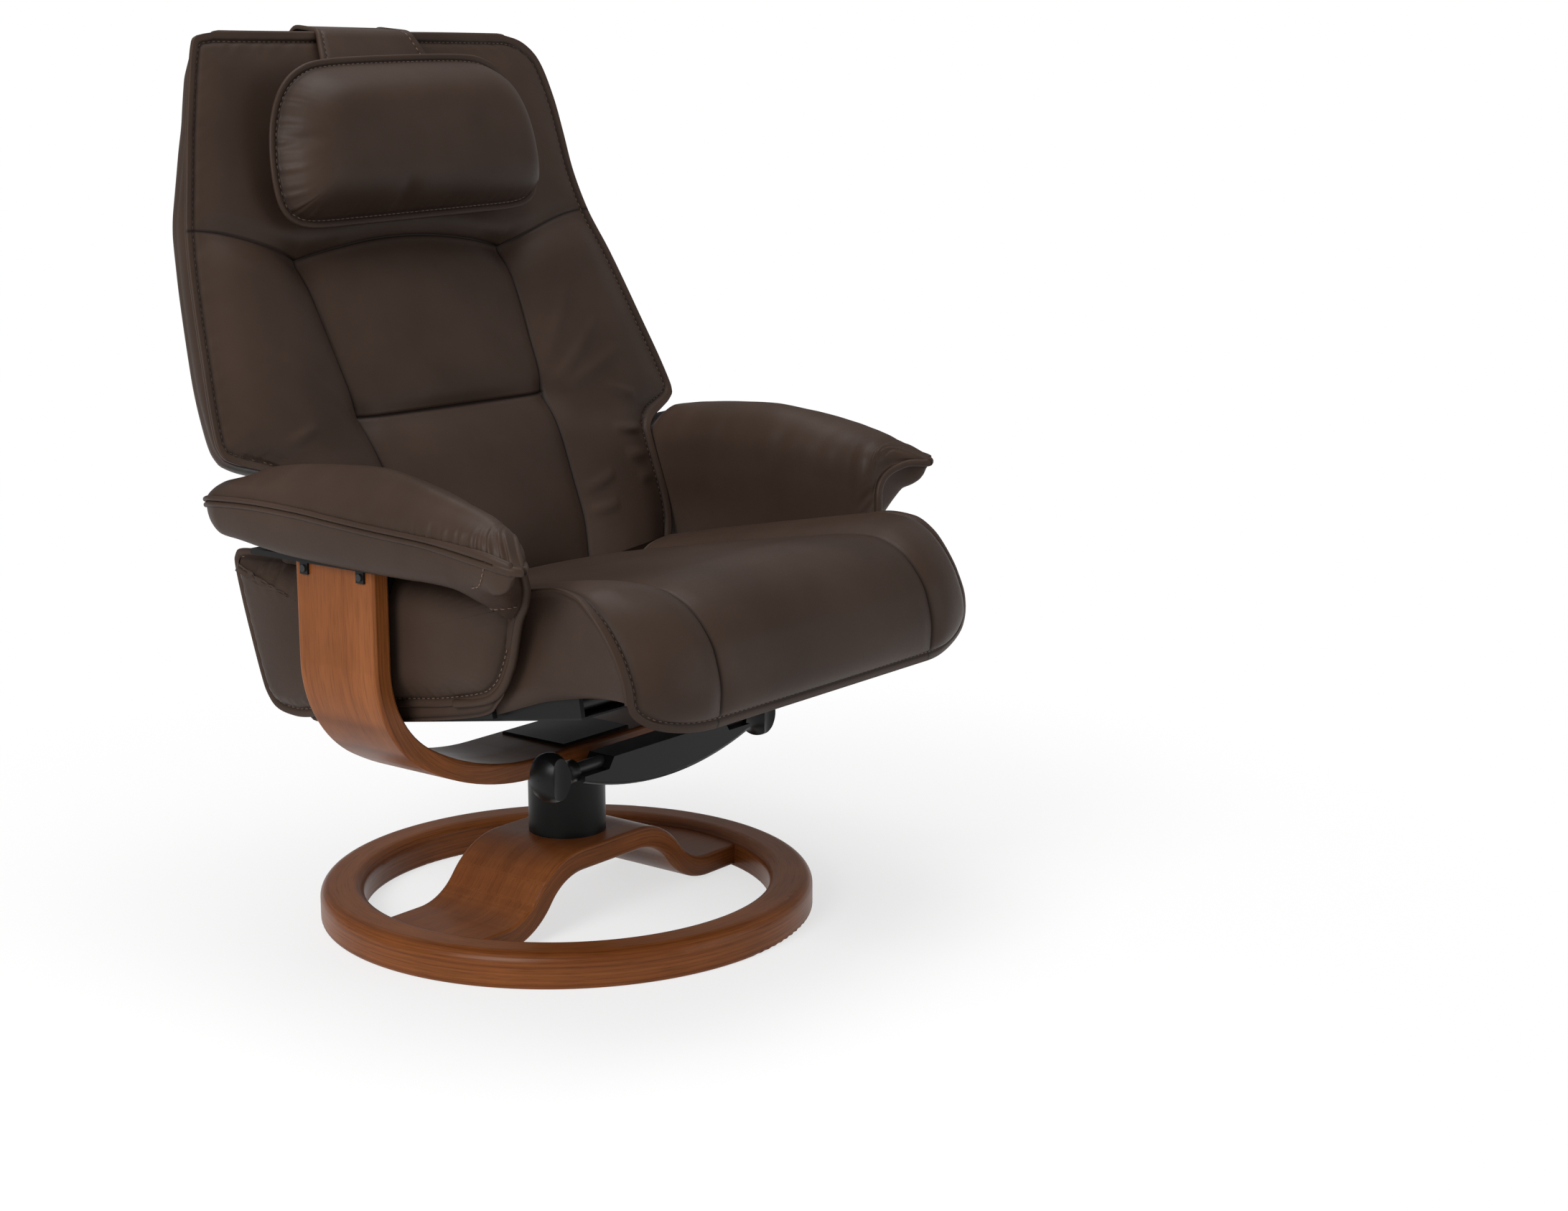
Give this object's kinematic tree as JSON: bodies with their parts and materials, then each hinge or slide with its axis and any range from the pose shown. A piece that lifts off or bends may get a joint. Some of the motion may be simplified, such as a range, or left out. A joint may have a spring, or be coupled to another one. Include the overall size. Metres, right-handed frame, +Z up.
{
  "type": "swivel recliner",
  "caption": "Swivel recliner with leather seat, winged leather back, head pillow and padded arms on a bent-wood arm frame and a bent-wood ring base.",
  "frame": {"origin": "on the floor at the swivel axis, the centre of the ring base", "axes": "+Z up, the sitter faces -Y, +X is the sitter's left"},
  "size_m": [0.784, 0.7838, 1.0494],
  "materials": {
    "walnut": "satin",
    "leather": "satin",
    "black_steel": "satin",
    "steel": "satin",
    "black_plastic": "matte",
    "nylon": "matte",
    "felt": "matte",
    "webbing": "matte",
    "dust_cloth": "matte"
  },
  "bodies": {
    "base": {"base_ring": "walnut", "felt_pads": "felt", "base_leg": "walnut", "leg_dowels": "walnut", "column_tube": "black_steel", "column_bolts": "steel", "column_cover": "black_steel", "lower_bush": "nylon", "upper_bush": "nylon", "thrust_washer": "nylon"},
    "swivel": {"swivel_spindle": "black_steel", "arm_frame": "walnut", "frame_plate": "black_steel", "frame_bolts": "steel", "tension_bracket": "black_steel", "tension_housing": "black_plastic", "tension_shaft": "steel", "arm_bracket_left": "black_steel", "arm_bracket_right": "black_steel", "bracket_screws": "steel", "arm_pad_left": "leather", "arm_pad_right": "leather", "side_panel_left": "leather", "side_panel_right": "leather", "glide_plate_left": "black_steel", "glide_plate_right": "black_steel", "glide_pins": "steel", "glide_rollers": "nylon"},
    "seat": {"seat_frame": "black_steel", "seat_webbing": "webbing", "seat_dust_cover": "dust_cloth", "seat_cushion": "leather", "hinge_pins": "steel"},
    "back": {"back_frame": "black_steel", "back_webbing": "webbing", "back_cushion": "leather", "back_cover": "leather", "pillow_strap": "leather"},
    "pillow": {"head_pillow": "leather"},
    "counterweight": {"pillow_counterweight": "leather"},
    "knob_left": {"tension_knob_left": "black_plastic"},
    "knob_right": {"tension_knob_right": "black_plastic"}
  },
  "joints": [
    {"name": "swivel_turn", "type": "hinge", "parent": "base", "child": "swivel", "pos_m": [0, 0, 0.182], "axis": [0, 0, 1], "continuous": true},
    {"name": "seat_glide", "type": "slide", "parent": "swivel", "child": "seat", "axis": [0, -0.9867, 0.1628], "range_m": [0, 0.045]},
    {"name": "back_recline", "type": "hinge", "parent": "seat", "child": "back", "pos_m": [0, 0.09456, 0.338], "axis": [-1, 0, 0], "range_deg": [0, 20]},
    {"name": "pillow_slide", "type": "slide", "parent": "back", "child": "pillow", "axis": [0, 0.2329, 0.9725], "range_m": [0, 0.07]},
    {"name": "counterweight_slide", "type": "slide", "parent": "back", "child": "counterweight", "axis": [0, 0.1599, 0.9871], "range_m": [-0.07, 0]},
    {"name": "knob_left_turn", "type": "hinge", "parent": "swivel", "child": "knob_left", "pos_m": [0.15, -0.148, 0.228], "axis": [1, 0, 0], "range_deg": [-180, 180]},
    {"name": "knob_right_turn", "type": "hinge", "parent": "swivel", "child": "knob_right", "pos_m": [-0.15, -0.148, 0.228], "axis": [-1, 0, 0], "range_deg": [-180, 180]}
  ],
  "couplings": [
    {"joint": "seat_glide", "follows": "back_recline", "m_per_rad": 0.1289},
    {"joint": "counterweight_slide", "follows": "pillow_slide", "ratio": -1}
  ]
}
